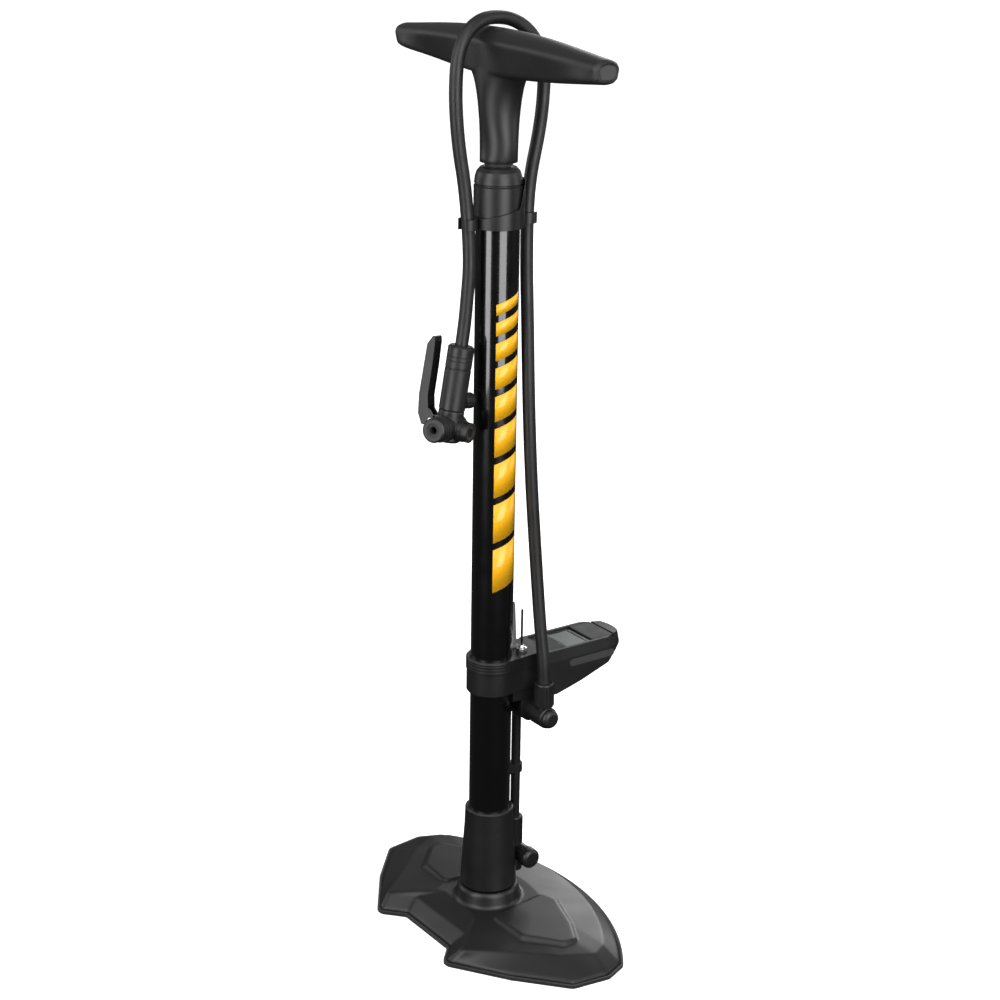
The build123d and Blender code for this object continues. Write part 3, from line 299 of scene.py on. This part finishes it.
def decal_yellow(name):
    """Printed yellow film: warm, a touch uneven, under a thin lacquer."""
    material, tree, shader = new_material(name)
    set_colour(tree, shader, noise(tree, 45, 4), (0.84, 0.41, 0.008), (0.90, 0.46, 0.012))
    set_roughness(tree, shader, noise(tree, 300, 3), 0.22, 0.34)
    shader.inputs["Coat Weight"].default_value = 0.25
    shader.inputs["Coat Roughness"].default_value = 0.1
    return material


def make_materials():
    """One finished material for each of the record's slots."""
    return {
        "satin_black": moulded("base_plastic", (0.0052, 0.0052, 0.0054),
                               rough=0.38, grain=1300, depth=0.03, edge=0.0008, blend=0.0035),
        "foot_rubber": rubber("foot_rubber", (0.008, 0.008, 0.008), rough=0.7),
        "gloss_black": gloss_paint("barrel_lacquer", (0.0022, 0.0022, 0.0024)),
        "dark_plastic": moulded("dark_plastic", (0.0065, 0.0065, 0.0068),
                                rough=0.40, grain=1500, depth=0.02, edge=0.0004),
        "gauge_plastic": moulded("gauge_plastic", (0.010, 0.010, 0.0105),
                                 rough=0.44, grain=1500, depth=0.03, edge=0.0004),
        "trim_grey": moulded("trim_grey", (0.045, 0.045, 0.046),
                             rough=0.48, grain=1700, depth=0.03, edge=0.0003),
        "handle_plastic": moulded("handle_plastic", (0.009, 0.009, 0.0094),
                                  rough=0.42, grain=1200, depth=0.03, edge=0.0008, blend=0.0045),
        "head_plastic": moulded("head_plastic", (0.0065, 0.0065, 0.0068),
                                rough=0.42, grain=1500, depth=0.02, edge=0.0004, blend=0.0008),
        "lever_plastic": moulded("lever_plastic", (0.006, 0.006, 0.0063),
                                 rough=0.38, grain=1500, depth=0.02, edge=0.0006),
        "hose_rubber": rubber("hose_rubber", (0.007, 0.007, 0.0073),
                              rough=0.46, grain=2100, sheen=0.0),
        "seal_rubber": rubber("seal_rubber", (0.012, 0.012, 0.012), rough=0.6),
        "inner_plastic": moulded("inner_plastic", (0.016, 0.016, 0.016), rough=0.45),
        "pipe_metal": moulded("pipe_coat", (0.010, 0.010, 0.0103),
                              rough=0.36, grain=1800, depth=0.01, edge=0.0003),
        "rod_steel": metal("rod_chrome", (0.45, 0.45, 0.46), rough=0.30),
        "fastener_steel": metal("fastener_steel", (0.52, 0.52, 0.53),
                                rough=0.32, stretch=(700, 700, 700)),
        "needle_silver": metal("needle_silver", (0.86, 0.86, 0.88),
                               rough=0.2, stretch=(500, 500, 500)),
        "needle_dark": moulded("needle_dark", (0.010, 0.010, 0.010),
                               rough=0.35, grain=1500, depth=0.01, edge=0.0002),
        "cone_grey": moulded("cone_grey", (0.22, 0.22, 0.225),
                             rough=0.42, grain=1500, depth=0.01, edge=0.0003),
        "window_glass": clear_glass("window_glass"),
        "lcd_grey": screen("lcd_grey"),
        "button_rubber": rubber("button_rubber", (0.014, 0.014, 0.0145),
                                rough=0.6, grain=1100, sheen=0.05),
        "board_green": board("board_green"),
        "sensor_metal": metal("sensor_metal", (0.6, 0.6, 0.6), rough=0.3, stretch=(400, 400, 400)),
    }


def add_spring(material):
    """The check valve's spring, a copy of its CAD node carried onto the pump."""
    spring = bpy.data.objects.new("valve_spring", frame["nodes"]["check_spring"].data.copy())
    bpy.context.scene.collection.objects.link(spring)
    spring.data.materials.clear()
    spring.data.materials.append(material)
    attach(spring, "pump")
    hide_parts("check_spring")
    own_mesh(spring)


def dress_nodes(materials):
    """Gives every carried-over CAD node its slot's material."""
    for part in frame["record"]["subparts"]:
        node = frame["nodes"][part["node"]]
        node.data.materials.clear()
        node.data.materials.append(materials[part["material_slot"]])


# ---------------------------------------------------------------- barrel stripes
# lengths in mm
BARREL_R = 16.0
FILM = 0.05  # the printed film stands this far off the barrel
FILM_THICK = 0.04
FACING = math.radians(2)  # plan angle of the stripes' middle
STRIPE_LOW, STRIPE_HIGH = 280, 509
STRIPE_HALF = 10.5  # half of a bar's width round the barrel
STRIPE_SLANT = 8  # how much higher a bar's right end stands than its left
STRIPE_HEIGHTS = [34, 30, 26, 22, 19, 16, 13, 10, 8]  # of each bar, upwards
CUT_REACH = 12  # the film is cut into 1 mm columns as far out as this, to bend round the barrel


def wrapped_film(name, outlines):
    """Flat outlines, as (arc, height) points in mm, wrapped round the barrel as a thin film."""
    sheet = bmesh.new()
    for outline in outlines:
        sheet.faces.new([sheet.verts.new((a, 0, z)) for a, z in outline])
    for cut in range(-CUT_REACH, CUT_REACH + 1):
        geometry = sheet.verts[:] + sheet.edges[:] + sheet.faces[:]
        bmesh.ops.bisect_plane(sheet, geom=geometry, plane_co=(cut, 0, 0), plane_no=(1, 0, 0))
    for vert in sheet.verts:
        angle = FACING + vert.co.x / BARREL_R
        radius = (BARREL_R + FILM) * MM
        vert.co = (radius * math.cos(angle), radius * math.sin(angle), vert.co.z * MM)
    mesh = bpy.data.meshes.new(name)
    sheet.to_mesh(mesh)
    sheet.free()
    for polygon in mesh.polygons:
        polygon.use_smooth = True
    film = bpy.data.objects.new(name, mesh)
    bpy.context.scene.collection.objects.link(film)
    thick = film.modifiers.new("thickness", "SOLIDIFY")
    thick.thickness = FILM_THICK * MM
    thick.offset = -1
    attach(film, "pump")
    return film


def stripe_outlines():
    """A plain geometric pattern: slanted bars that grow shorter upwards, evenly spaced."""
    outlines = []
    z = STRIPE_LOW
    spare = STRIPE_HIGH - STRIPE_LOW - sum(STRIPE_HEIGHTS) - STRIPE_SLANT
    gap = spare / (len(STRIPE_HEIGHTS) - 1)
    for height in STRIPE_HEIGHTS:
        outlines.append([(-STRIPE_HALF, z), (STRIPE_HALF, z + STRIPE_SLANT),
                         (STRIPE_HALF, z + STRIPE_SLANT + height), (-STRIPE_HALF, z + height)])
        z += height + gap
    return outlines


# ---------------------------------------------------------------- studio
# lengths in metres, angles in degrees, powers in watts
GROUND, SKY = 0.03, 0.20  # the world's grey well below and well above the horizon
HORIZON = (-0.15, 0.30)  # height on the unit sphere where the one turns into the other
FLOOR_SIZE = 98
FLOOR_GLOW = 0.70  # the floor is lit from within, to come out as pale as paper
FLOOR_DROP = 0.5 * MM  # keeps it off the pump's underside
DOME_R = 50
OVERHEAD_STRENGTH = 1.0
OVERHEAD_SPREAD = 70
OVERHEAD_TILT = (13, 19)  # about X and about Y
# upright soft boxes: name, plan bearing, distance, width and height, height of the middle, power
SOFT_BOXES = [
    ("box_left", -81, 1.15, (0.55, 1.5), 0.86, 12.5),
    ("box_right", -5, 1.15, (0.75, 1.5), 0.86, 16),
    ("box_rear", 125, 3.2, (1.6, 2.6), 1.5, 48),
    ("box_back_left", 215, 2.6, (1.2, 2.0), 1.2, 14),
    ("box_back_right", 60, 2.6, (1.2, 2.0), 1.2, 14),
]


def soft_box(name, bearing, distance, size, middle, power):
    """An upright soft box at a plan bearing, turned to the pump; size is width and height."""
    data = bpy.data.lights.new(name, "AREA")
    data.shape = "RECTANGLE"
    data.size, data.size_y = size
    data.energy = power
    light = bpy.data.objects.new(name, data)
    bpy.context.scene.collection.objects.link(light)
    angle = math.radians(bearing)
    light.location = (distance * math.cos(angle), distance * math.sin(angle), middle)
    light.rotation_euler = (math.radians(90), 0, angle + math.radians(90))
    light.visible_camera = False


def add_surroundings():
    """A dim even sky over a dark ground, which light the pump and show in its gloss."""
    world = bpy.data.worlds.new("studio")
    world.use_nodes = True
    tree = world.node_tree
    coords = tree.nodes.new("ShaderNodeTexCoord")
    split = tree.nodes.new("ShaderNodeSeparateXYZ")
    tree.links.new(coords.outputs["Generated"], split.inputs["Vector"])
    shade = ramp(tree, split.outputs["Z"], *HORIZON, GROUND, SKY)
    tree.links.new(shade, tree.nodes["Background"].inputs["Color"])
    bpy.context.scene.world = world


def glow(shader, strength):
    """Makes a surface give off white light."""
    shader.inputs["Emission Color"].default_value = (1, 1, 1, 1)
    shader.inputs["Emission Strength"].default_value = strength


def add_backdrop():
    """A wide pale dome round everything, seen by the camera only: it casts no light or shadow."""
    bpy.ops.mesh.primitive_uv_sphere_add(segments=64, ring_count=32, radius=DOME_R)
    dome = bpy.context.object
    dome.name = "studio_backdrop"
    material, _, shader = new_material("studio_backdrop")
    shader.inputs["Base Color"].default_value = (0, 0, 0, 1)
    glow(shader, 1.0)
    dome.data.materials.append(material)
    dome.visible_glossy = False
    dome.visible_diffuse = False
    dome.visible_transmission = False
    dome.visible_shadow = False


def add_floor():
    """The pale floor, which throws no light and no reflection back onto the pump."""
    bpy.ops.mesh.primitive_plane_add(size=FLOOR_SIZE, location=(0, 0, -FLOOR_DROP))
    floor = bpy.context.object
    floor.name = "studio_floor"
    material, tree, shader = new_material("studio_floor")
    tone = mix_colour(tree, noise(tree, 3, 2), (0.88, 0.88, 0.88), (0.90, 0.90, 0.90))
    tree.links.new(tone, shader.inputs["Base Color"])
    shader.inputs["Roughness"].default_value = 0.8
    glow(shader, FLOOR_GLOW)
    floor.data.materials.append(material)
    floor.visible_glossy = False
    floor.visible_diffuse = False


def add_studio():
    """Pale floor and backdrop, a soft overhead light and the soft boxes."""
    add_floor()
    add_backdrop()
    add_surroundings()
    light = bpy.data.lights.new("overhead", "SUN")
    light.energy = OVERHEAD_STRENGTH
    light.angle = math.radians(OVERHEAD_SPREAD)
    overhead = bpy.data.objects.new("overhead", light)
    bpy.context.scene.collection.objects.link(overhead)
    about_x, about_y = OVERHEAD_TILT
    overhead.rotation_euler = (math.radians(about_x), math.radians(about_y), 0)
    for box in SOFT_BOXES:
        soft_box(*box)
    bpy.context.scene.view_settings.view_transform = "Standard"


add_camera()
hose = add_hose()
materials = make_materials()
dress_nodes(materials)
hose.data.materials.append(materials["hose_rubber"])
add_spring(materials["fastener_steel"])
stripes = wrapped_film("barrel_stripes", stripe_outlines())
stripes.data.materials.append(decal_yellow("stripe_yellow"))
add_studio()
